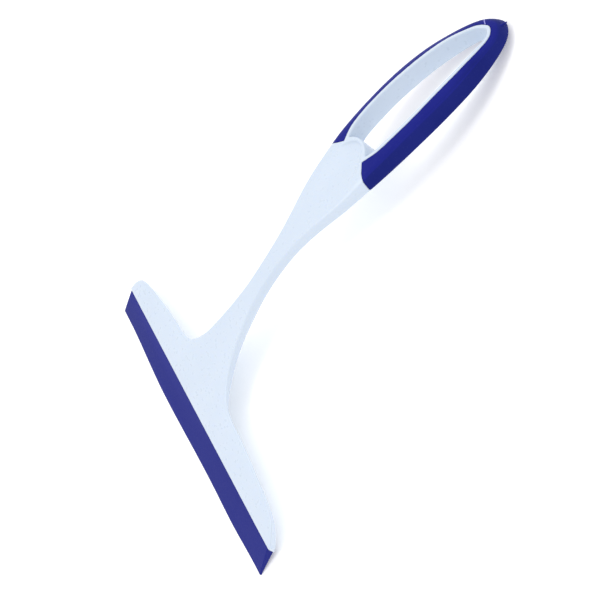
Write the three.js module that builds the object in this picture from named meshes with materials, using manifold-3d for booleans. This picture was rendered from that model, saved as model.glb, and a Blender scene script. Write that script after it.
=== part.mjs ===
// Window cleaning squeegee: a white T-shaped moulding with a looped handle, a soft blue
// grip wrapped round the loop and a soft blue wiping blade along the head.
//
// Frame, millimetres: +X along the blade, +Y from the head to the handle, +Z up. The tool
// stands as it does on a table, arched, on the blade's lip and the handle's tip, and the
// origin is the centre of its footprint.
//
// Everything is drawn on the developed front surface and then bent round one arc.
// In the developed frame x runs across, s runs from the head's edge towards the handle's
// tip and u is the height over the front surface.

import * as THREE from 'three';
import { mergeVertices } from 'three/addons/utils/BufferGeometryUtils.js';
import Module from 'manifold-3d';

const wasm = await Module();
wasm.setup();

// ---- driving dimensions, mm
const ARC_RADIUS = 375; // of the arched front surface
const ARC_START = THREE.MathUtils.degToRad(33.6); // its slope at the head's edge
const CLEARANCE = 0.3; // between pieces

const TIP_AT = 253.5; // from the head's edge to the handle's tip
const EDGE_SLANT = { reach: 3.4, depth: 5 }; // the head's blade edge leans out towards its back
const ARM_EDGE = { at: 16.5, thickness: 1.8 }; // the arms thin towards their rear edge
const SPINE_HALF = 24; // the thicker middle of the head's back

const BLADE_ROOT_HALF = 100;
const BLADE_LIP_HALF = 101.9;
const BLADE_REACH = 16.8; // out of the head, at its ends
const BLADE_ROOT_THICKNESS = 3.8;
const BLADE_LIP_THICKNESS = 0.9;
const BLADE_STEP = 0.5; // from the head's front down to the blade's front
const BLADE_DROOP = 0.7; // of the lip below the arc
const LIP_WAVE = { extra: [[-92, 0], [-30, 1.8], [40, 0.7], [64, 0.86], [98, 0]], lift: 0.4 };
const BLADE_STEPS = 68; // along the blade
const KEY = { half: 94, reach: 3.2, depth: 2, thickness: 1.2, bead: 0.9 }; // blade's key in the head

const LIP_ROUND = 1.8; // white lip between the grip and the hole's wall
const TONGUE_RADIUS = 12; // the thumb panel's end, which bulges into the hole
const TONGUE_TIP_AT = 168;
const LOOP_THICKNESS = 9.8;
const CROWN = 2.2; // of the loop's front over the arc
const DISH = { at: 148.5, length: 17.5, half: 10.5, depth: 2.6, lift: 1 }; // thumb dish
const WEB = { inset: 4.6, top: 3.4, bottom: 6.9, from: 148 }; // white flange inside the grip
const PIP = { x: 3, root: 250.2, end: 253.5, u: -2, rootRadius: 0.9, endRadius: 0.3 }; // on the grip's tip

const SILHOUETTE_STEPS = 84;
const GRIP_LINE_STEPS = 30;
const TONGUE_STEPS = 12;
const MIDDLE_GAP = 1.2; // the outlines stop this far from the middle plane
const BEYOND = 8; // how far a cutting form reaches past what it cuts

// ---- outlines, each from the head towards the tip and just past it, as [x, s]
const SILHOUETTE = [
  [101.4, 0], [99.9, 3.6], [97.3, 7.9], [93.8, 11.3], [88.4, 13.8], [67, 17.6], [47, 19.7],
  [35, 20.4], [28.2, 22], [22.6, 26.6], [16.9, 35], [13, 45], [9.4, 58], [7.2, 74], [6.9, 89],
  [8.2, 105], [11, 118], [17.2, 140], [20.6, 160], [22.8, 186], [22.3, 206], [19.4, 224.5],
  [12.5, 244], [7.2, 250.5], [0, TIP_AT], [-7.2, 250.5],
];
// The line on the front where white meets blue, along the hole.
const GRIP_LINE = [
  [9.6, 161.2], [12.7, 169.3], [14, 184], [13.9, 196], [11.6, 221.5], [8.6, 235],
  [5.2, 242.8], [0, 245.9], [-5.2, 242.8],
];
// The grip's two ends on the front: from the outer side inwards.
const CHEVRON = [[26, 154.1], [20.4, 154.4], [17, 155.4], [13.8, 157.4]];

// ---- how the section changes along s: [s, value] stations, joined smoothly
const RIDGE_INSET = [
  [20, 0.5], [50, 0.9], [80, 2.2], [125, 2.3], [160, 3.9], [190, 5.1], [225, 4.5], [253, 3.2],
];
const RIDGE_DEPTH = [
  [14, 0.25], [50, 0.6], [140, 0.6], [165, -0.15], [190, -0.35], [225, -0.05], [246, 0.6],
];
const WIDEST_DEPTH = [[14, 0.9], [40, 3.6], [74, 4.5], [150, 4.9], [190, 5.1], [225, 5.1], [253, 4.3]];
const BACK_INSET = [[12, 0.8], [60, 1.2], [90, 1.5], [128, 2], [152, 3], [188, 4.6], [253, 3.4]];
const BACK_DEPTH = [
  [ARM_EDGE.at, ARM_EDGE.thickness], [36, 4.5], [66, 6.6], [125, 6.8], [182, LOOP_THICKNESS],
  [224, 9.6], [253, 8.4],
];
const SPINE_DEPTH = [[-4, 5.3], [20, 5.6], [60, 6.7]];
const FRONT_HEIGHT = [
  [18, 0], [50, -0.85], [138, -0.85], [166, 1.7], [182, CROWN], [225, CROWN], [246, 0.5],
];

// ---- how a section is drawn: shares of the way between its corners
const FRONT_POINTS = [[0, 0], [0.45, 0], [0.8, 0.15]]; // across, down to the ridge
const UPPER_SIDE = [[0.62, 0.26], [0.27, 0.58], [0.05, 0.86]]; // of the ridge's inset, of the depth
const LOWER_SIDE = [[0, 0.06], [0.2, 0.25], [0.58, 0.64]]; // of the back's inset, of the depth
const UNDER_POINTS = [1, 0.75, 0.4, 0]; // across the back
const HOLE_EDGE = [
  [LIP_ROUND - 0.2, 3], [LIP_ROUND - 0.2, CROWN + 0.1], [0.9, CROWN - 0.35], [0.25, 0.1],
  [0, -1], [0, 2 - LOOP_THICKNESS], [1.6, -LOOP_THICKNESS - 0.2], [1.6, -LOOP_THICKNESS - 4],
];
const TONGUE_EDGE = [[-1.1, 5], [-1.1, 0.8], [-0.45, 0.1], [0, -0.8], [0, -LOOP_THICKNESS - 6]];

// ---- small tools

// A value that changes smoothly along s between the given stations.
function along(s, stations) {
  let value = stations[0][1];
  for (let i = 1; i < stations.length; i++) {
    const [s0, v0] = stations[i - 1];
    const [s1, v1] = stations[i];
    if (s > s0) value = v0 + (v1 - v0) * THREE.MathUtils.smoothstep(s, s0, s1);
  }
  return value;
}

// Points and outward normals along the +X part of a smooth curve, the head end first.
function smooth(points, count) {
  const curve = new THREE.CatmullRomCurve3(
    points.map(([x, s]) => new THREE.Vector3(x, s, 0)), false, 'centripetal');
  const out = [];
  for (let i = 0; i <= count; i++) {
    const p = curve.getPointAt(i / count);
    const t = curve.getTangentAt(i / count);
    if (p.x > MIDDLE_GAP) out.push({ x: p.x, s: p.y, nx: t.y, ns: -t.x });
  }
  return out;
}

// A point moved inwards, against its outward normal, and kept on its own side.
const inset = (p, e) => ({ x: Math.max(p.x - e * p.nx, 0.5), s: p.s - e * p.ns });

// From the developed frame to the arched one.
function bend([x, s, u]) {
  const a = ARC_START - s / ARC_RADIUS;
  return [
    x,
    ARC_RADIUS * (Math.sin(ARC_START) - Math.sin(a)) - u * Math.sin(a),
    ARC_RADIUS * (Math.cos(a) - Math.cos(ARC_START)) + u * Math.cos(a),
  ];
}

// A manifold solid from points and triangles of the developed frame.
function solid(points, triangles) {
  return new wasm.Manifold(new wasm.Mesh({
    numProp: 3,
    vertProperties: new Float32Array(points.flatMap(bend)),
    triVerts: new Uint32Array(triangles.flat()),
  }));
}

// A solid from a three.js geometry, with each point put in its place.
function placed(geometry, place) {
  geometry.deleteAttribute('normal');
  geometry.deleteAttribute('uv');
  const merged = mergeVertices(geometry);
  const p = merged.attributes.position;
  const points = [];
  for (let i = 0; i < p.count; i++) points.push(place(p.getX(i), p.getY(i), p.getZ(i)));
  const index = Array.from(merged.index.array);
  const triangles = [];
  for (let i = 0; i < index.length; i += 3) triangles.push(index.slice(i, i + 3));
  return solid(points, triangles);
}

// A closed solid, the same on both sides of x = 0. Each row is half a section, as
// [x, s, u], from its top middle round the +X side to its bottom middle.
function loft(rows) {
  const half = rows[0].length;
  const n = 2 * half - 2;
  const points = rows.flatMap((row) => [
    ...row,
    ...row.slice(1, -1).reverse().map(([x, s, u]) => [-x, s, u]),
  ]);
  const triangles = [];
  for (let i = 0; i + 1 < rows.length; i++) {
    for (let j = 0; j < n; j++) {
      const a = i * n + j;
      const b = i * n + ((j + 1) % n);
      triangles.push([a, b, b + n], [a, b + n, a + n]);
    }
  }
  for (const [row, turn] of [[0, true], [rows.length - 1, false]]) {
    for (let j = 0; j + 1 < half; j++) {
      const right = row * n + j;
      const left = row * n + ((n - j) % n);
      const nextLeft = row * n + (n - j - 1);
      const faces = [];
      if (j + 2 < half) faces.push([right, right + 1, nextLeft]);
      else faces.push([right, right + 1, left]);
      if (j > 0 && j + 2 < half) faces.push([right, nextLeft, left]);
      triangles.push(...faces.map(([p, q, r]) => (turn ? [p, r, q] : [p, q, r])));
    }
  }
  return solid(points, triangles);
}

// A straight-sided region of the front, between two heights. edge lists [grow, u] pairs
// from the top to the bottom, where grow moves the outline outwards.
function prism(outline, edge) {
  return loft(outline.map((p) => {
    const side = edge.map(([grow, u]) => {
      const q = inset(p, -grow);
      return [q.x, q.s, u];
    });
    const top = side[0];
    const bottom = side[side.length - 1];
    return [[0, top[1], top[2]], ...side, [0, bottom[1], bottom[2]]];
  }));
}

// The soft lip waves: where it reaches further out it also rises, and so stays level.
function waved([x, s, u]) {
  const extra = along(x, LIP_WAVE.extra) * (Math.min(s, 0) / BLADE_REACH) ** 2;
  return [x, s - extra, u + LIP_WAVE.lift * extra];
}

// A section in s and u, drawn as a shape and run across the width. halfAt gives the half
// width at each s.
function across(shape, halfAt, steps) {
  const geometry = new THREE.ExtrudeGeometry(shape, { depth: 2, steps, bevelEnabled: false });
  return placed(geometry, (s, u, side) => waved([(side - 1) * halfAt(s), s, u]));
}

// ---- the outer form of the moulding with its grip

// The head's back is one true plane up to the arms' rear edge.
function armDepth(s) {
  const rim = ARC_RADIUS - EDGE_SLANT.depth;
  const end = ARC_RADIUS - ARM_EDGE.thickness;
  const turn = (ARM_EDGE.at + EDGE_SLANT.reach) / ARC_RADIUS;
  const at = (s + EDGE_SLANT.reach) / ARC_RADIUS;
  const b = (1 / end - Math.cos(turn) / rim) / Math.sin(turn);
  return ARC_RADIUS - 1 / (Math.cos(at) / rim + b * Math.sin(at));
}
const backDepth = (s) => (s < ARM_EDGE.at ? armDepth(s) : along(s, BACK_DEPTH));

// Half a section of the outer form at one silhouette point.
function section(p, i) {
  const first = i === 0;
  const edge = first ? { ...p, nx: 1, ns: 0 } : p;
  const lean = (d) => (first ? (-d * EDGE_SLANT.reach) / EDGE_SLANT.depth : 0);
  const at = (e, d) => {
    const q = inset(edge, e);
    return [q.x, q.s + lean(d), -d];
  };
  const e1 = along(p.s, RIDGE_INSET);
  const d1 = along(p.s, RIDGE_DEPTH);
  const e3 = along(p.s, BACK_INSET);
  const back = inset(edge, e3);
  const d3 = first ? EDGE_SLANT.depth : backDepth(back.s);
  const d2 = Math.min(along(p.s, WIDEST_DEPTH), d3 - 0.7);
  const ridge = at(e1, d1);
  const height = along(ridge[1], FRONT_HEIGHT);
  const front = ([share, drop]) => {
    const u = height + drop * (-d1 - height);
    return [share * ridge[0], inset(edge, e1).s + lean(-u), u];
  };
  const spine = Math.max(along(back.s, SPINE_DEPTH) - d3, 0);
  const middle = Math.min(SPINE_HALF, 0.8 * back.x);
  const under = (t) => {
    const d = d3 + spine * Math.cos((t * Math.PI) / 2) ** 2;
    return [t * middle, back.s + lean(d), -d];
  };
  return [
    ...FRONT_POINTS.map(front),
    ridge,
    ...UPPER_SIDE.map(([share, down]) => at(share * e1, THREE.MathUtils.lerp(d1, d2, down))),
    ...LOWER_SIDE.map(([share, down]) => at(share * e3, THREE.MathUtils.lerp(d2, d3, down))),
    at(e3, d3),
    ...UNDER_POINTS.map(under),
  ];
}

const silhouette = smooth(SILHOUETTE, SILHOUETTE_STEPS);
const outer = loft(silhouette.map(section));

// ---- the hole, with the tongue left standing in it
const gripLine = smooth(GRIP_LINE, GRIP_LINE_STEPS);
const wallLine = gripLine
  .map((p) => ({ ...p, ...inset(p, LIP_ROUND) }))
  .filter((p) => p.x > MIDDLE_GAP);
const holeStart = { x: 6, s: 156, nx: 1, ns: 0 };
const holeBlank = prism([holeStart, ...wallLine], HOLE_EDGE);
const tongueCentre = TONGUE_TIP_AT - TONGUE_RADIUS;
const tongueArc = [{ x: 10.2, s: 150, nx: 1, ns: 0 }];
for (let i = 0; i <= TONGUE_STEPS; i++) {
  const a = THREE.MathUtils.degToRad(THREE.MathUtils.lerp(58, 4, i / TONGUE_STEPS));
  const n = { nx: Math.sin(a), ns: Math.cos(a) };
  tongueArc.push({ x: TONGUE_RADIUS * n.nx, s: tongueCentre + TONGUE_RADIUS * n.ns, ...n });
}
const tongue = prism(tongueArc, TONGUE_EDGE);
const hole = holeBlank.subtract(tongue);

// ---- what is white on the outside: the head, the neck and the lining of the hole
const whiteStart = -30;
const whiteSide = Array.from({ length: 16 }, (_, i) => (
  { x: 130, s: THREE.MathUtils.lerp(whiteStart, CHEVRON[0][1] - 0.5, i / 15), nx: 1, ns: 0 }));
const whiteOutline = (clear) => [
  ...whiteSide,
  ...CHEVRON.map(([x, s]) => ({ x, s: s + clear, nx: 0, ns: 1 })),
  ...gripLine.filter((p) => p.s > GRIP_LINE[0][1] - 0.1).map((p) => ({ ...p, ...inset(p, -clear) })),
];
const white = (clear) => prism(whiteOutline(clear), [[0, BEYOND], [0, -LOOP_THICKNESS - BEYOND]]);

// The flange of the lining that the grip is keyed round.
function web(clear) {
  const line = silhouette
    .filter((p) => p.s > WEB.from)
    .map((p) => ({ ...p, ...inset(p, WEB.inset - clear) }))
    .filter((p) => p.x > MIDDLE_GAP);
  return prism(line, [[0, -WEB.top + clear], [0, -WEB.bottom - clear]]);
}

// ---- the thumb dish
const dish = placed(new THREE.SphereGeometry(1, 28, 14), (x, y, z) => [
  DISH.half * x, DISH.at + DISH.length * y, DISH.lift + DISH.depth * z,
]);

// ---- the small moulding pip on the grip's tip
const pip = placed(
  new THREE.CylinderGeometry(PIP.endRadius, PIP.rootRadius, PIP.end - PIP.root, 16),
  (x, y, z) => [PIP.x + x, (PIP.root + PIP.end) / 2 + y, PIP.u + z],
);

// ---- the blade's key and the slot for it
function keyShape(clear) {
  const middle = -KEY.depth;
  const half = KEY.thickness / 2 + clear;
  const r = KEY.bead + clear;
  const turn = Math.asin(half / r);
  const shape = new THREE.Shape();
  shape.moveTo(-2.6, middle - half);
  shape.lineTo(KEY.reach - r * Math.cos(turn), middle - half);
  shape.absarc(KEY.reach, middle, r, Math.PI + turn, 3 * Math.PI - turn, false);
  shape.lineTo(-2.6, middle + half);
  return shape;
}

function wedgeShape() {
  const shape = new THREE.Shape();
  const front = -BLADE_STEP;
  const back = front - BLADE_ROOT_THICKNESS;
  const lip = front - BLADE_DROOP;
  const rootAt = (u) => (u * EDGE_SLANT.reach) / EDGE_SLANT.depth - 1.2 * CLEARANCE;
  shape.moveTo(rootAt(back), back);
  shape.lineTo(rootAt(front), front);
  shape.lineTo(-BLADE_REACH, lip);
  shape.lineTo(-BLADE_REACH, lip - BLADE_LIP_THICKNESS);
  return shape;
}

const bladeHalf = (s) => THREE.MathUtils.mapLinear(s, 0, -BLADE_REACH, BLADE_ROOT_HALF, BLADE_LIP_HALF);
const key = across(keyShape(0), () => KEY.half, 1);
const blade = across(wedgeShape(), bladeHalf, BLADE_STEPS).add(key);
const slot = across(keyShape(CLEARANCE), () => KEY.half + CLEARANCE, 1);

// ---- the three pieces
const body = outer
  .intersect(white(0))
  .add(web(0))
  .subtract(hole)
  .subtract(dish)
  .subtract(slot);
const grip = outer
  .subtract(white(CLEARANCE))
  .subtract(web(CLEARANCE))
  .add(pip);

const whitePlastic = new THREE.MeshStandardMaterial({ color: 0xdce8f6, roughness: 0.32, metalness: 0 });
const blueGrip = new THREE.MeshStandardMaterial({ color: 0x2a3188, roughness: 0.55, metalness: 0 });
const blueBlade = new THREE.MeshStandardMaterial({ color: 0x373f88, roughness: 0.6, metalness: 0 });

function mesh(name, form, material) {
  const data = form.getMesh();
  const geometry = new THREE.BufferGeometry();
  geometry.setAttribute('position', new THREE.BufferAttribute(data.vertProperties, 3));
  geometry.setIndex(new THREE.BufferAttribute(data.triVerts, 1));
  geometry.computeVertexNormals();
  const out = new THREE.Mesh(geometry, material);
  out.name = name;
  return out;
}

// ---- stand the tool on the blade's lip and the handle's tip
const tool = new THREE.Group();
tool.add(mesh('body', body, whitePlastic), mesh('grip', grip, blueGrip), mesh('blade', blade, blueBlade));

function lowest(name, tilt) {
  const p = tool.getObjectByName(name).geometry.attributes.position;
  let low = Infinity;
  for (let i = 0; i < p.count; i++) {
    low = Math.min(low, p.getY(i) * Math.sin(tilt) + p.getZ(i) * Math.cos(tilt));
  }
  return low;
}

let steep = -Math.PI / 4;
let level = 0;
for (let i = 0; i < 40; i++) {
  const tilt = (steep + level) / 2;
  if (lowest('grip', tilt) > lowest('blade', tilt)) level = tilt;
  else steep = tilt;
}
tool.rotation.x = level;
tool.updateMatrixWorld(true);
const box = new THREE.Box3().setFromObject(tool, true);
tool.position.set(0, -(box.min.y + box.max.y) / 2, -box.min.z);

const squeegee = new THREE.Group();
squeegee.add(tool);

export default squeegee;
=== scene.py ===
"""Window cleaning squeegee: the looks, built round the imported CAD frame.

The form is drawn as the CAD draws it, in millimetres on the developed front surface: x runs
across, s runs from the head's edge towards the handle's tip and u is the height over the
arched front. Each piece is the zero surface of a distance field, so every edge has a true
fillet and every point carries its true normal. The points are then bent round the arc and
stood on the table, in metres.
"""

import math
from types import SimpleNamespace

import bpy
import numpy as np
from mathutils import Matrix, Vector


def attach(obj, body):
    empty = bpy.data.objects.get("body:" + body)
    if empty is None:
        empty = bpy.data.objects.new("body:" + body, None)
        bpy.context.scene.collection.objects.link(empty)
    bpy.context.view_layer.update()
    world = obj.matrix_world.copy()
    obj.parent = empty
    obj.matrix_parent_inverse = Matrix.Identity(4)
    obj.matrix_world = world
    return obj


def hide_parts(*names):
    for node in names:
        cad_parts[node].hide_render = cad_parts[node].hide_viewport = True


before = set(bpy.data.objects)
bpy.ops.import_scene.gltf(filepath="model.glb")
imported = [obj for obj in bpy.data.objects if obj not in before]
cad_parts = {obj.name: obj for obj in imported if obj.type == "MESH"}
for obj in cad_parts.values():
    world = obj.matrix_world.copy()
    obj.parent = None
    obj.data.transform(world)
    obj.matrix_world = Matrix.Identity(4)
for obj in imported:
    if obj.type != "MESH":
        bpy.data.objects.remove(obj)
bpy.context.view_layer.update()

# ---- the tool's dimensions, mm, as in the CAD
ARC_RADIUS = 375
ARC_START = math.radians(33.6)
TIP_AT = 253.5
EDGE_LEAN = 3.4 / 5  # the blade edge of the head leans out towards the back
HEAD_EDGE_DEPTH = 5
HEAD_EDGE_ROUND = 0.35
ARM_REAR = (16.5, 1.8)  # s and thickness of the arms' rear edge
SPINE_HALF = 24
LIP_WIDTH, LIP_ROUND = 1.9, 1.0  # the white lip between the grip and the hole's wall
HOLE_CORNER_ROUND = 0.6  # where the tongue's outline meets the hole's
TONGUE_RADIUS, TONGUE_HALF, TONGUE_TIP_AT = 12, 10.2, 168

SILHOUETTE = [
    (101.4, 0), (99.9, 3.6), (97.3, 7.9), (93.8, 11.3), (88.4, 13.8), (67, 17.6), (47, 19.7),
    (35, 20.4), (28.2, 22), (22.6, 26.6), (16.9, 35), (13, 45), (9.4, 58), (7.2, 74), (6.9, 89),
    (8.2, 105), (11, 118), (17.2, 140), (20.6, 160), (22.8, 186), (22.3, 206), (19.4, 224.5),
    (12.5, 244), (7.2, 250.5), (0, TIP_AT), (-7.2, 250.5),
]  # fmt: skip
GRIP_LINE = [
    (9.6, 161.2), (12.7, 169.3), (14, 184), (13.9, 196), (11.6, 221.5), (8.6, 235),
    (5.2, 242.8), (0, 245.9), (-5.2, 242.8),
]  # fmt: skip
CHEVRON = [(26, 154.1), (20.4, 154.4), (17, 155.4), (13.8, 157.4)]

# How the section changes along s: stations of (s, value), joined smoothly.
RIDGE_INSET = [(20, 0.5), (50, 0.9), (80, 2.2), (125, 2.3), (160, 3.9), (190, 5.1), (225, 4.5), (253, 3.2)]
RIDGE_DEPTH = [(14, 0.25), (50, 0.6), (140, 0.6), (165, -0.15), (190, -0.35), (225, -0.05), (246, 0.6)]
RIDGE_SOFT = [(10, 0.5), (40, 0.8), (152, 0.8), (172, 0.9)]
SIDE_POWER = [(150, 1.53), (170, 1.2)]
CROWN_POWER = [(150, 8.5), (175, 4)]
WIDEST_DEPTH = [(14, 0.9), (40, 3.6), (74, 4.5), (150, 4.9), (190, 5.1), (225, 5.1), (253, 4.3)]
BACK_INSET = [(12, 0.8), (60, 1.2), (90, 1.5), (128, 2), (152, 3), (188, 4.6), (253, 3.4)]
BACK_DEPTH = [ARM_REAR, (36, 4.5), (66, 6.6), (125, 6.8), (182, 9.8), (224, 9.6), (253, 8.4)]
BACK_ROUND = [(0, 0.4), (20, 0.6), (60, 1.6), (150, 2)]
LOWER_SIDE_POWER = 1.1
SPINE_DEPTH = [(-4, 5.3), (20, 5.6), (60, 6.7)]
FRONT_HEIGHT = [(18, 0), (50, -0.85), (138, -0.85), (180, 2.8), (225, 2.8), (246, 0.5)]

SEAM_GAP, SEAM_ROUND = 0.05, 0.2  # between the grip and the moulding
DISH = SimpleNamespace(at=148.5, length=17.5, half=10.5, depth=2.6, lift=1, edge=1.2)
PIP = SimpleNamespace(x=3, root=250.2, end=253.1, u=-2, root_radius=0.9, end_radius=0.3, fillet=0.3)
BLADE = SimpleNamespace(
    root_half=100, lip_half=101.9, reach=16.8, step=0.5, droop=0.7, root=3.8, lip=0.9, gap=0.12,
    taper_from=0.2, edge_round=0.2, root_round=0.22, end_round=0.3,
)  # fmt: skip
LIP_WAVE, LIP_LIFT = [(-92, 0), (-30, 1.8), (40, 0.7), (64, 0.86), (98, 0)], 0.4


# ---- curves and distances on the developed surface
def along(s, stations):
    """A value that changes smoothly along s between the given stations."""
    value = np.full_like(s, stations[0][1])
    for (s0, v0), (s1, v1) in zip(stations, stations[1:]):
        t = np.clip((s - s0) / (s1 - s0), 0, 1)
        value += (v1 - v0) * t * t * (3 - 2 * t)
    return value


def spline(points, steps=12):
    """A centripetal Catmull-Rom curve through the points, steps chords to each span."""
    p = np.array(points, float)
    p = np.vstack([2 * p[0] - p[1], p, 2 * p[-1] - p[-2]])
    root = np.sqrt(np.linalg.norm(np.diff(p, axis=0), axis=1))
    t = np.linspace(0, 1, steps, endpoint=False)[:, None]
    spans = []
    for i in range(1, len(p) - 2):
        a, b, c, d = p[i - 1 : i + 3]
        ta, tb, tc = root[i - 1 : i + 2]
        m0 = tb * ((b - a) / ta - (c - a) / (ta + tb) + (c - b) / tb)
        m1 = tb * ((c - b) / tb - (d - b) / (tb + tc) + (d - c) / tc)
        cubic = (2 * b - 2 * c + m0 + m1) * t**3 + (3 * c - 3 * b - 2 * m0 - m1) * t**2
        spans.append(cubic + m0 * t + b)
    return np.vstack([*spans, p[-2:-1]])


class Region:
    """The part of the developed surface inside an outline that is the same on both sides.

    The outline is its +X edge, from the head towards the tip. Calling the region gives the
    distance to that edge, positive inside, looked up with cubic smoothness.
    """

    STEP = 0.4
    MARGIN = 8

    def __init__(self, edge):
        low = np.array([-2.0, edge[:, 1].min() - self.MARGIN])
        high = edge.max(0) + self.MARGIN
        self.low = low
        axes = [np.arange(low[k], high[k], self.STEP) for k in range(2)]
        x, s = np.meshgrid(*axes, indexing="ij")
        x = np.abs(x)
        nearest = np.full(x.shape, np.inf)
        inside = np.zeros(x.shape, bool)
        for (x0, s0), (x1, s1) in zip(edge, edge[1:]):
            dx, ds = x1 - x0, s1 - s0
            t = np.clip(((x - x0) * dx + (s - s0) * ds) / (dx * dx + ds * ds), 0, 1)
            nearest = np.minimum(nearest, (x - x0 - t * dx) ** 2 + (s - s0 - t * ds) ** 2)
            crossed = (s0 > s) != (s1 > s)
            if s1 != s0:
                inside ^= crossed & (x < x0 + (s - s0) * dx / ds)
        self.values = np.sqrt(nearest) * np.where(inside, 1, -1)

    def __call__(self, x, s):
        at = [(np.abs(x) - self.low[0]) / self.STEP, (s - self.low[1]) / self.STEP]
        cell, weights = [], []
        for k in range(2):
            a = np.clip(at[k], 1, self.values.shape[k] - 3)
            i = np.minimum(a.astype(int), self.values.shape[k] - 3)
            t = a - i
            cell.append(i)
            weights.append([
                t * (-0.5 + t * (1 - 0.5 * t)),
                1 + t * t * (-2.5 + 1.5 * t),
                t * (0.5 + t * (2 - 1.5 * t)),
                t * t * (-0.5 + 0.5 * t),
            ])  # fmt: skip
        total = 0
        for i, wi in enumerate(weights[0]):
            for j, wj in enumerate(weights[1]):
                total = total + wi * wj * self.values[cell[0] + i - 1, cell[1] + j - 1]
        return total


def one_side(curve):
    """The part of a curve up to where it crosses the middle plane."""
    return curve[: np.argmax(curve[:, 0] < 1e-9) + 1] if (curve[:, 0] < 1e-9).any() else curve


def arc(centre, radius, start, end, steps=24):
    """Points round a centre; angles in degrees from +s towards +x."""
    a = np.radians(np.linspace(start, end, steps))
    return np.c_[radius * np.sin(a), centre + radius * np.cos(a)]


outline_edge = one_side(spline(SILHOUETTE))
grip_edge = one_side(spline(GRIP_LINE))
outline = Region(np.vstack([[(101.4, -14)], outline_edge]))
grip_inside = Region(np.vstack([[(1.7, 140)], grip_edge]))
white_edge = np.vstack([[(130, -30), (130, 153.9)], CHEVRON, grip_edge])
white = Region(white_edge)
tongue_centre = TONGUE_TIP_AT - TONGUE_RADIUS
turn = math.degrees(math.asin(TONGUE_HALF / TONGUE_RADIUS))
tongue = Region(np.vstack([[(TONGUE_HALF, 120)], arc(tongue_centre, TONGUE_RADIUS, turn, 0)]))


def round_max(a, b, r):
    """Both fields cut each other, and the edge between them is rounded to radius r."""
    outside = np.hypot(np.maximum(r + a, 0), np.maximum(r + b, 0))
    return np.minimum(-r, np.maximum(a, b)) + outside


def soft_max(a, b, width):
    """Both fields cut each other, with a soft crease between them where they meet at a low angle."""
    near = np.maximum(width - np.abs(a - b), 0) / width
    return np.maximum(a, b) + near * near * width / 4


def round_min(a, b, r):
    """Both fields joined, with a fillet of radius r between them."""
    return -round_max(-a, -b, r)


# ---- what a place on the developed surface is like
def arm_depth(s):
    """The head's back: one true plane from the blade edge to the arms' rear edge."""
    rim, end = ARC_RADIUS - HEAD_EDGE_DEPTH, ARC_RADIUS - ARM_REAR[1]
    reach = EDGE_LEAN * HEAD_EDGE_DEPTH
    turned = (ARM_REAR[0] + reach) / ARC_RADIUS
    at = (s + reach) / ARC_RADIUS
    b = (1 / end - math.cos(turned) / rim) / math.sin(turned)
    return ARC_RADIUS - 1 / (np.cos(at) / rim + b * np.sin(at))


def ridge_half(s):
    """Half the width between the two front ridges."""
    edge = outline_edge[outline_edge[:, 1] < 186]
    half = edge[:, 0] - along(edge[:, 1], RIDGE_INSET)
    return np.interp(s, edge[:, 1], half)


def plan(x, s):
    """Everything about a place that doesn't depend on the height."""
    p = SimpleNamespace(x=x, s=s)
    p.edge = outline(x, s)
    p.grip = grip_inside(x, s)
    p.white = white(x, s)
    p.tongue = tongue(x, s)
    p.e1, p.d1 = along(s, RIDGE_INSET), along(s, RIDGE_DEPTH)
    p.e3 = along(s, BACK_INSET)
    p.d3 = np.where(s < ARM_REAR[0], arm_depth(s), along(s, BACK_DEPTH))
    p.d2 = np.minimum(along(s, WIDEST_DEPTH), p.d3 - 0.7)
    p.ridge_soft, p.back_round = along(s, RIDGE_SOFT), along(s, BACK_ROUND)
    across = 1 - np.clip((p.edge - p.e1) / ridge_half(s), 0, 1)
    height = along(s, FRONT_HEIGHT)
    p.front = height - (p.d1 + height) * across ** along(s, CROWN_POWER)
    p.power = along(s, SIDE_POWER)
    spine = np.maximum(along(s, SPINE_DEPTH) - p.d3, 0)
    middle = np.minimum(SPINE_HALF, 0.8 * np.interp(s, outline_edge[:, 1], outline_edge[:, 0]))
    share = np.clip(np.abs(x) / np.maximum(middle, 1), 0, 1)
    p.back = p.d3 + spine * np.cos(share * math.pi / 2) ** 2
    return p


def side_inset(p, depth):
    """How far the side stands in from the silhouette at a depth, and how fast that changes."""
    upper = np.clip((p.d2 - depth) / (p.d2 - p.d1), 1e-3, 2.5)
    lower = np.maximum((depth - p.d2) / (p.d3 - p.d2), 0)
    inset = p.e1 * upper**p.power + p.e3 * lower**LOWER_SIDE_POWER
    slope = p.power * p.e1 * upper ** (p.power - 1) / (p.d2 - p.d1)
    lower_slope = LOWER_SIDE_POWER * p.e3 * lower ** (LOWER_SIDE_POWER - 1) / (p.d3 - p.d2)
    return inset, slope + lower_slope * (lower > 0)


def outer_form(p, u):
    """The moulding and its grip together, without the hole."""
    inset, slope = side_inset(p, -u)
    side = (inset - p.edge) / np.sqrt(1 + slope**2)
    field = soft_max(u - p.front, side, p.ridge_soft)
    field = round_max(field, -u - p.back, p.back_round)
    lean = 1 / math.hypot(1, EDGE_LEAN)
    return round_max(field, (EDGE_LEAN * u - p.s) * lean, HEAD_EDGE_ROUND)


def body_field(p, u):
    """The white moulding, with the loop's hole and the thumb's shallow dish cut out of it."""
    field = outer_form(p, u)
    hole = round_min(p.grip - LIP_WIDTH, -p.tongue, HOLE_CORNER_ROUND)
    field = round_max(field, hole, LIP_ROUND)
    d = DISH
    reach = [p.x / d.half, (p.s - d.at) / d.length, (u - d.lift) / d.depth]
    k0 = np.sqrt(sum(r**2 for r in reach))
    k1 = np.sqrt((reach[0] / d.half) ** 2 + (reach[1] / d.length) ** 2 + (reach[2] / d.depth) ** 2)
    dish = k0 * (k0 - 1) / np.maximum(k1, 1e-6)
    field = round_max(field, -dish, d.edge)
    return round_max(field, -p.white, SEAM_ROUND)


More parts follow.
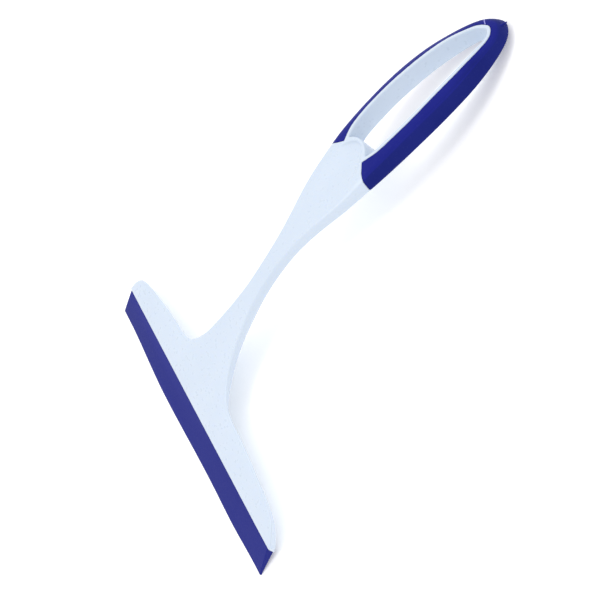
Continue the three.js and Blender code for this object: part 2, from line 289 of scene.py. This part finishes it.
def grip_field(p, u):
    """The blue wrap outside the white's outline, with the small moulding pip by its tip."""
    field = round_max(outer_form(p, u), p.white + SEAM_GAP, SEAM_ROUND)
    length = PIP.end - PIP.root
    t = np.clip((p.s - PIP.root) / length, 0, 1)
    radius = PIP.root_radius + (PIP.end_radius - PIP.root_radius) * t
    off = np.sqrt((p.x - PIP.x) ** 2 + (p.s - PIP.root - length * t) ** 2 + (u - PIP.u) ** 2)
    return round_min(field, off - radius, PIP.fillet)


def blade_field(p, u):
    """The wiping strip: a wedge from the head's edge to a thin, slightly wavy lip."""
    b = BLADE
    extra = along(p.x, LIP_WAVE) * np.clip(-p.s / b.reach, 0, 1) ** 2
    s, u = p.s + extra, u - LIP_LIFT * extra
    share = -s / b.reach
    front = u + b.step + b.droop * share
    thickness = b.root + (b.lip - b.root) * np.clip((share - b.taper_from) / (1 - b.taper_from), 0, 1)
    back = -u - b.step - b.droop * share - thickness
    ends = np.abs(p.x) - (b.root_half + (b.lip_half - b.root_half) * share)
    root = (s - EDGE_LEAN * u) / math.hypot(1, EDGE_LEAN) + b.gap
    lip = -b.reach - s
    field = round_max(front, back, b.edge_round)
    field = round_max(field, round_max(root, lip, b.edge_round), b.root_round)
    return round_max(field, ends, b.end_round)


# ---- from a field to a mesh
SLOPE_STEP = 0.04  # over which a field's gradient is measured
SETTLE_STEPS, SETTLE_LIMIT = 2, 0.25  # how often and how far a point may move onto the surface


def net(field, axes):
    """The zero surface of a field on a rectilinear grid: one vertex for each cell it
    crosses, and one quad for each grid edge it crosses."""
    x, s = np.meshgrid(axes[0], axes[1], indexing="ij")
    p = plan(x, s)
    values = np.stack([field(p, u) for u in axes[2]], axis=-1)
    cells = np.array(values.shape) - 1
    points, rings = [], []
    for k in range(3):
        below, above = [slice(None)] * 3, [slice(None)] * 3
        below[k], above[k] = slice(0, -1), slice(1, None)
        at = np.argwhere((values[tuple(below)] < 0) != (values[tuple(above)] < 0))
        up = at + np.eye(3, dtype=int)[k]
        a, b = values[tuple(at.T)], values[tuple(up.T)]
        point = np.stack([axes[n][at[:, n]] for n in range(3)], axis=1)
        point[:, k] += a / (a - b) * (axes[k][up[:, k]] - axes[k][at[:, k]])
        first, second = np.eye(3, dtype=int)[(k + 1) % 3], np.eye(3, dtype=int)[(k + 2) % 3]
        ring = [at, at - first, at - first - second, at - second]
        ring = np.stack([np.ravel_multi_index(c.T, cells) for c in ring], axis=1)
        ring[a > 0] = ring[a > 0][:, ::-1]
        points.append(np.repeat(point, 4, axis=0))
        rings.append(ring)
    rings = np.vstack(rings)
    used, index = np.unique(rings.ravel(), return_inverse=True)
    points = np.vstack(points)
    count = np.bincount(index)
    vertices = np.stack([np.bincount(index, points[:, n]) / count for n in range(3)], axis=1)
    return settle(field, vertices), index.reshape(-1, 4)


def slope_of(field, v):
    """The field and its gradient at some points."""
    value = field(plan(v[:, 0], v[:, 1]), v[:, 2])
    gradient = []
    for step in np.eye(3) * SLOPE_STEP:
        q = v + step
        gradient.append((field(plan(q[:, 0], q[:, 1]), q[:, 2]) - value) / SLOPE_STEP)
    return value, np.stack(gradient, axis=1)


def settle(field, v):
    """Moves points onto the zero surface."""
    for _ in range(SETTLE_STEPS):
        value, gradient = slope_of(field, v)
        squared = np.maximum((gradient**2).sum(1), 0.25)  # keeps the step short where it is flat
        step = np.clip(value / squared, -SETTLE_LIMIT, SETTLE_LIMIT)
        v = v - gradient * step[:, None]
    return v


COARSENESS = 1  # wider grids while trying things


def grid(*stops):
    """Coordinates from (value, spacing) stops; the spacing changes evenly between them."""
    stops = [(value, spacing * COARSENESS) for value, spacing in stops]
    out = [stops[0][0]]
    for (v0, d0), (v1, d1) in zip(stops, stops[1:]):
        n = max(1, round((v1 - v0) / ((d0 + d1) / 2)))
        t = np.arange(1, n + 1) / n
        out += list(v0 + (v1 - v0) * (t * d0 + t * t * (d1 - d0) / 2) / ((d0 + d1) / 2))
    return np.array(out)


def both_sides(*stops):
    """The same coordinates on both sides of the middle plane."""
    half = grid(*stops)
    return np.concatenate([-half[::-1], half])


# ---- from the developed surface to the table
def bend(v):
    """From the developed surface to the arched tool, head edge at the origin."""
    a = ARC_START - v[:, 1] / ARC_RADIUS
    y = ARC_RADIUS * (math.sin(ARC_START) - np.sin(a)) - v[:, 2] * np.sin(a)
    z = ARC_RADIUS * (np.cos(a) - math.cos(ARC_START)) + v[:, 2] * np.cos(a)
    return np.c_[v[:, 0], y, z]


def bend_normals(v, n):
    a = ARC_START - v[:, 1] / ARC_RADIUS
    stretch = ARC_RADIUS / (ARC_RADIUS + v[:, 2])
    along_s = n[:, 1] * stretch
    y = along_s * np.cos(a) - n[:, 2] * np.sin(a)
    z = along_s * np.sin(a) + n[:, 2] * np.cos(a)
    return np.c_[n[:, 0], y, z]


GRIDS = {
    "body": (
        both_sides((0.2, 0.42), (24, 0.42), (40, 0.9), (94, 0.8), (98, 0.35), (102.5, 0.35)),
        grid(
            (-5, 0.35), (22, 0.4), (30, 0.6), (142, 0.6),
            (150, 0.4), (172, 0.4), (180, 0.5), (247, 0.45),
        ),
        grid((-11.5, 0.4), (3.1, 0.38)),
    ),
    "grip": (
        both_sides((0.15, 0.3), (6, 0.3), (24.2, 0.38)),
        grid((152, 0.38), (244, 0.4), (249, 0.25), (255, 0.25)),
        grid((-11.5, 0.36), (3.1, 0.33)),
    ),
    "blade": (
        both_sides((0.5, 1.2), (96, 1.2), (99, 0.3), (103, 0.3)),
        grid((-19.6, 0.27), (0.6, 0.3)),
        grid((-5.4, 0.22), (0.4, 0.22)),
    ),
}  # fmt: skip
FIELDS = {"body": body_field, "grip": grip_field, "blade": blade_field}


# As the CAD stands: on the blade's lip and the handle's tip, centred on its own box, mm.
STAND = np.array(Matrix.Rotation(-0.2531408775, 3, "X"))
OFFSET = np.array([0, -115.443805, 7.801565])


def stand(v):
    return v @ STAND.T


def make_piece(name, material):
    """The named piece's fine mesh, in metres, in place of its CAD node."""
    v, faces = net(FIELDS[name], GRIDS[name])
    _, n = slope_of(FIELDS[name], v)
    normals = stand(bend_normals(v, n))
    normals /= np.maximum(np.linalg.norm(normals, axis=1), 1e-9)[:, None]
    mesh = bpy.data.meshes.new("squeegee_" + name)
    mesh.from_pydata((stand(bend(v)) + OFFSET) / 1000, [], faces)
    mesh.shade_smooth()
    mesh.normals_split_custom_set_from_vertices(normals.tolist())
    mesh.materials.append(material)
    piece = bpy.data.objects.new("squeegee_" + name, mesh)
    bpy.context.scene.collection.objects.link(piece)
    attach(piece, "root")
    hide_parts(name)
    return piece


# ---- materials: colours are linear, lengths in metres
WHITE_PLASTIC = (0.628, 0.714, 0.832, 1), (0.651, 0.733, 0.847, 1)  # the two ends of a faint flow mark
# The grip's two colour pairs: painted shade on its sides and painted light on its front, each pair varying
# at random.
GRIP_SHADED_SIDE = (0.005, 0.011, 0.155, 1), (0.008, 0.015, 0.18, 1)
GRIP_LIT_FRONT = (0.006, 0.0105, 0.205, 1), (0.01, 0.015, 0.24, 1)
BLADE_BLUE = (0.011, 0.017, 0.2, 1), (0.017, 0.023, 0.235, 1)
DUST, SEAM_PALE = (0.35, 0.38, 0.55, 1), (0.30, 0.30, 0.68, 1)
FLOOR_WHITE = (0.93, 0.93, 0.93, 1)
SHADE_TO_LIGHT_FACING = 0.70, 0.84  # upward share of the normal over which the grip goes from painted shade on its sides to painted light on its front
MOULD_SEAM = SimpleNamespace(
    across=(0.275, 0.962, 0), at=0.12003, half=(0.00016, 0.00028),
    middle_x=-0.0085, reach=(0.0058, 0.006),
)  # fmt: skip


class Shader:
    """A short way to write a material's nodes."""

    def __init__(self, name):
        self.material = bpy.data.materials.new(name)
        self.material.use_nodes = True
        self.tree = self.material.node_tree
        self.surface = self.tree.nodes["Principled BSDF"]
        self.place = self.tree.nodes.new("ShaderNodeTexCoord").outputs["Object"]

    def add(self, kind, inputs=None, **settings):
        node = self.tree.nodes.new(kind)
        for key, value in settings.items():
            setattr(node, key, value)
        for key, value in (inputs or {}).items():
            if isinstance(value, bpy.types.NodeSocket):
                self.tree.links.new(value, node.inputs[key])
            else:
                node.inputs[key].default_value = value
        return node

    def noise(self, scale, detail=2.0, roughness=0.5, stretch=(1, 1, 1)):
        where = self.add("ShaderNodeMapping", {"Vector": self.place, "Scale": stretch})
        node = self.add(
            "ShaderNodeTexNoise",
            {"Vector": where.outputs[0], "Scale": scale, "Detail": detail, "Roughness": roughness},
        )
        return node.outputs["Fac"]

    def span(self, value, low, high, start=0.3, stop=0.7):
        """Maps a noise onto a range of values."""
        node = self.add(
            "ShaderNodeMapRange",
            {"Value": value, "From Min": start, "From Max": stop, "To Min": low, "To Max": high},
        )
        return node.outputs[0]

    def offset(self, direction, at):
        """How far a point is from a plane, on either side, in metres."""
        reach = self.add("ShaderNodeVectorMath", {0: self.place, 1: direction}, operation="DOT_PRODUCT")
        moved = self.add("ShaderNodeMath", {0: reach.outputs["Value"], 1: at}, operation="SUBTRACT")
        return self.add("ShaderNodeMath", {0: moved.outputs[0]}, operation="ABSOLUTE").outputs[0]

    def mix(self, share, first, second):
        node = self.add("ShaderNodeMix", data_type="RGBA")
        for socket, value in ((0, share), (6, first), (7, second)):
            if isinstance(value, bpy.types.NodeSocket):
                self.tree.links.new(value, node.inputs[socket])
            else:
                node.inputs[socket].default_value = value
        return node.outputs[2]

    def bump(self, height, distance, strength=1.0, under=None):
        inputs = {"Height": height, "Distance": distance, "Strength": strength}
        if under is not None:
            inputs["Normal"] = under
        return self.add("ShaderNodeBump", inputs).outputs[0]

    def use(self, **sockets):
        for key, value in sockets.items():
            socket = self.surface.inputs[key.replace("_", " ")]
            if isinstance(value, bpy.types.NodeSocket):
                self.tree.links.new(value, socket)
            else:
                socket.default_value = value
        return self.material


def white_plastic():
    """Pale blue-white moulding: satin gloss, faint flow marks and a very fine moulded skin."""
    m = Shader("white_plastic")
    flow = m.noise(38, 3, stretch=(1, 0.4, 1))
    skin = m.noise(2600, 2)
    ripple = m.noise(170, 2)
    color = m.mix(m.span(flow, 0, 1), *WHITE_PLASTIC)
    normal = m.bump(ripple, 0.00003, 0.3)
    normal = m.bump(skin, 0.000005, 0.4, normal)
    return m.use(
        Base_Color=color,
        Roughness=m.span(m.noise(420, 3), 0.26, 0.34),
        Normal=normal,
        Specular_IOR_Level=0.45,
        Subsurface_Weight=0.12,
        Subsurface_Radius=(0.0016, 0.002, 0.0026),
        Subsurface_Scale=1.0,
    )


def rubber(m, dark, light, grain, streaks=(1, 1, 1), mark=None):
    """Matt rubber between two blues, with a fine grain, a trace of dust and an optional pale mark."""
    cloud = m.noise(60, 3, stretch=streaks)
    fine = m.noise(grain, 3, 0.6)
    color = m.mix(m.span(cloud, 0, 1), dark, light)
    dust = m.span(m.noise(900, 2), 0, 0.015, 0.6, 0.75)
    color = m.mix(dust, color, DUST)
    if mark is not None:
        color = m.mix(mark, color, SEAM_PALE)
    normal = m.bump(m.noise(260, 2, stretch=streaks), 0.00004, 0.4)
    normal = m.bump(fine, 0.00003, 0.6, normal)
    return m.use(
        Base_Color=color,
        Roughness=m.span(fine, 0.48, 0.62),
        Normal=normal,
        Specular_IOR_Level=0.12,
    )


def grip_rubber():
    """Deep blue soft-touch rubber with a fine moulded grain, one pale mould seam, and painted light on its
    upward front with painted shade on its sides.
    """
    m = Shader("grip_rubber")
    # Painted light and shade: the colour goes from the shaded side tone to the lit front tone as the
    # normal turns upward.
    normal = m.add("ShaderNodeNewGeometry").outputs["Normal"]
    facing = m.add("ShaderNodeVectorMath", {0: normal, 1: (0, 0, 1)}, operation="DOT_PRODUCT")
    front = m.span(facing.outputs["Value"], 0, 1, *SHADE_TO_LIGHT_FACING)
    seam = m.span(m.offset(MOULD_SEAM.across, MOULD_SEAM.at), 1, 0, *MOULD_SEAM.half)
    side = m.span(m.offset((1, 0, 0), MOULD_SEAM.middle_x), 1, 0, *MOULD_SEAM.reach)
    mark = m.add("ShaderNodeMath", {0: seam, 1: side}, operation="MULTIPLY").outputs[0]
    dark, light = (m.mix(front, *ends) for ends in zip(GRIP_SHADED_SIDE, GRIP_LIT_FRONT))
    return rubber(m, dark, light, 1900, mark=mark)


def blade_rubber():
    """Soft blue rubber, a shade lighter, with faint streaks along the blade."""
    m = Shader("blade_rubber")
    return rubber(m, *BLADE_BLUE, 1500, (0.08, 1, 1))


MATERIALS = {"body": white_plastic, "grip": grip_rubber, "blade": blade_rubber}
for name in FIELDS:
    make_piece(name, MATERIALS[name]())


# ---- floor, light and camera
FLOOR_HALF = 6.0
FLOOR_GLOW = 0.26  # lifts the floor to white, as in a lit studio sweep
WORLD_STRENGTH = 0.88
LIGHTS = [  # name, place, disc's diameter in m, power in W
    ("key", (-0.5, 0.3, 1.6), 1.8, 6),
    ("edge", (0.05, -0.45, 1.5), 0.4, 3),
]
CAMERA = SimpleNamespace(
    place=(0.4506, 0.16279, 0.42759), target=(0.0207, -0.02806, 0.01428), roll=-67.73, lens=78, sensor=36
)


def floor():
    h = FLOOR_HALF
    mesh = bpy.data.meshes.new("floor")
    mesh.from_pydata([(-h, -h, 0), (h, -h, 0), (h, h, 0), (-h, h, 0)], [], [(0, 1, 2, 3)])
    material = Shader("floor").use(
        Base_Color=FLOOR_WHITE,
        Roughness=0.9,
        Specular_IOR_Level=0.1,
        Emission_Color=FLOOR_WHITE,
        Emission_Strength=FLOOR_GLOW,
    )
    mesh.materials.append(material)
    made = bpy.data.objects.new("floor", mesh)
    bpy.context.scene.collection.objects.link(made)


def soft_light(name, place, size, power):
    """A disc of light that faces the tool."""
    data = bpy.data.lights.new(name, "AREA")
    data.shape = "DISK"
    data.size = size
    data.energy = power
    made = bpy.data.objects.new(name, data)
    made.location = place
    made.rotation_euler = (-Vector(place)).to_track_quat("-Z", "Y").to_euler()
    bpy.context.scene.collection.objects.link(made)


def studio():
    world = bpy.data.worlds.new("studio")
    bpy.context.scene.world = world
    world.use_nodes = True
    background = world.node_tree.nodes["Background"]
    background.inputs["Color"].default_value = (1, 1, 1, 1)
    background.inputs["Strength"].default_value = WORLD_STRENGTH
    for light in LIGHTS:
        soft_light(*light)
    bpy.context.scene.view_settings.view_transform = "Standard"


def camera():
    """Looks down on the tool from beyond the blade's +X end, turned so the handle rises."""
    data = bpy.data.cameras.new("camera")
    data.lens = CAMERA.lens
    data.sensor_width = CAMERA.sensor
    made = bpy.data.objects.new("camera", data)
    made.location = CAMERA.place
    aim = (Vector(CAMERA.target) - made.location).to_track_quat("-Z", "Y").to_matrix()
    roll = Matrix.Rotation(math.radians(CAMERA.roll), 3, "Z")
    made.rotation_euler = (aim @ roll).to_euler()
    bpy.context.scene.collection.objects.link(made)
    bpy.context.scene.camera = made


floor()
studio()
camera()
